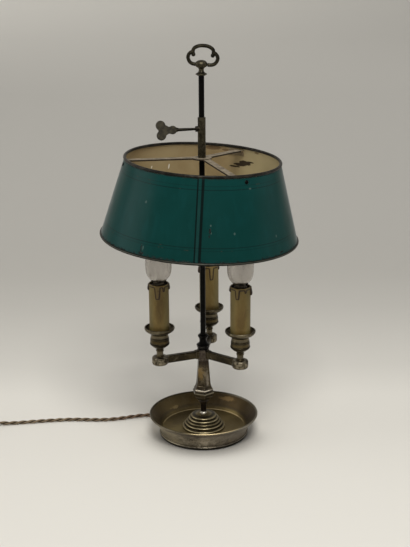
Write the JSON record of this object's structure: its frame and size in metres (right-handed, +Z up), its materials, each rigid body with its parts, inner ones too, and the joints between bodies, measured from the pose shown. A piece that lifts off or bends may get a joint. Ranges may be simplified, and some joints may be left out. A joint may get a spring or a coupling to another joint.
{
  "type": "bouillotte lamp",
  "caption": "Three-candle table lamp with a dish foot and a painted metal shade that slides and turns on a central rod and is held by a thumb key.",
  "frame": {"origin": "on the table, at the middle of the foot ring and on the rod's axis", "axes": "+Z up along the rod, -Y towards the front where the shade's seam is, +X to the right seen from the front"},
  "size_m": [0.6031, 0.2668, 0.5407],
  "materials": {
    "silvered_brass": "worn silver plate over brass, brown in the hollows",
    "worn_brass": "bare brass, aged brown",
    "black_iron": "blackened, slightly greasy sheen",
    "dark_bronze": "dark bronze patina",
    "shade_green": "dark teal-green semi-gloss paint with chips and fine rings, cream inside",
    "shade_cream": "aged cream paint",
    "rim_metal": "worn rolled rim",
    "candle_ivory": "aged ivory candle sleeve with wax drips",
    "bulb_glass": "clear, slightly hazy",
    "cap_brass": "screw cap",
    "filament_metal": "fine wire",
    "bakelite": "dark brown bakelite",
    "ceramic": "unglazed steatite",
    "wire_cover": "brown wire insulation",
    "steel": "plain steel, a little dull",
    "cord_textile": "brown twisted textile cord",
    "tie_cloth": "dark woven tie",
    "rocker_ivory": "ivory"
  },
  "bodies": {
    "root": {"base_dish": "silvered_brass", "base_mound": "worn_brass", "centre_tube": "worn_brass", "base_washer": "steel", "base_nut": "steel", "cord_bush": "bakelite", "terminal_block": "ceramic", "stem_collar": "silvered_brass", "stem": "silvered_brass", "arm_hub": "silvered_brass", "arm_left": "silvered_brass", "cup_left": "silvered_brass", "drip_pan_left": "silvered_brass", "cup_nipple_left": "steel", "lampholder_left": "bakelite", "candle_sleeve_left": "candle_ivory", "bulb_glass_left": "bulb_glass", "bulb_cap_left": "cap_brass", "wire_left": "wire_cover", "arm_right": "silvered_brass", "cup_right": "silvered_brass", "drip_pan_right": "silvered_brass", "cup_nipple_right": "steel", "lampholder_right": "bakelite", "candle_sleeve_right": "candle_ivory", "bulb_glass_right": "bulb_glass", "bulb_cap_right": "cap_brass", "wire_right": "wire_cover", "arm_back": "silvered_brass", "cup_back": "silvered_brass", "drip_pan_back": "silvered_brass", "cup_nipple_back": "steel", "lampholder_back": "bakelite", "candle_sleeve_back": "candle_ivory", "bulb_glass_back": "bulb_glass", "bulb_cap_back": "cap_brass", "wire_back": "wire_cover", "cup_nuts": "steel", "filaments": "filament_metal", "rod_socket": "black_iron", "rod": "black_iron", "finial_knob": "dark_bronze", "finial_loop": "dark_bronze", "cord_run": "cord_textile", "cord_coil": "cord_textile", "cord_tie": "tie_cloth", "plug_body": "bakelite", "plug_pins": "steel", "switch_base": "bakelite", "switch_cover": "bakelite"},
    "slider": {"slider_tube": "dark_bronze", "spider_ring": "black_iron"},
    "shade": {"shade_spider": "shade_cream", "shade_skin": "shade_green", "top_rim": "rim_metal", "bottom_rim": "rim_metal", "shade_rivets": "dark_bronze"},
    "key": {"clamp_key": "dark_bronze"},
    "rocker": {"switch_rocker": "rocker_ivory"}
  },
  "joints": [
    {"name": "shade_slide", "type": "slide", "parent": "root", "child": "slider", "axis": [0, 0, 1], "range_m": [-0.075, 0.0535]},
    {"name": "shade_turn", "type": "hinge", "parent": "slider", "child": "shade", "pos_m": [0, 0, 0.3925], "axis": [0, 0, 1], "continuous": true},
    {"name": "key_turn", "type": "hinge", "parent": "slider", "child": "key", "pos_m": [0, 0, 0.4315], "axis": [-0.9744, -0.225, 0], "range_deg": [0, 360]},
    {"name": "rocker_tilt", "type": "hinge", "parent": "root", "child": "rocker", "pos_m": [-0.344, 0.022, 0.0116], "axis": [0, -1, 0], "range_deg": [0, 12]}
  ]
}
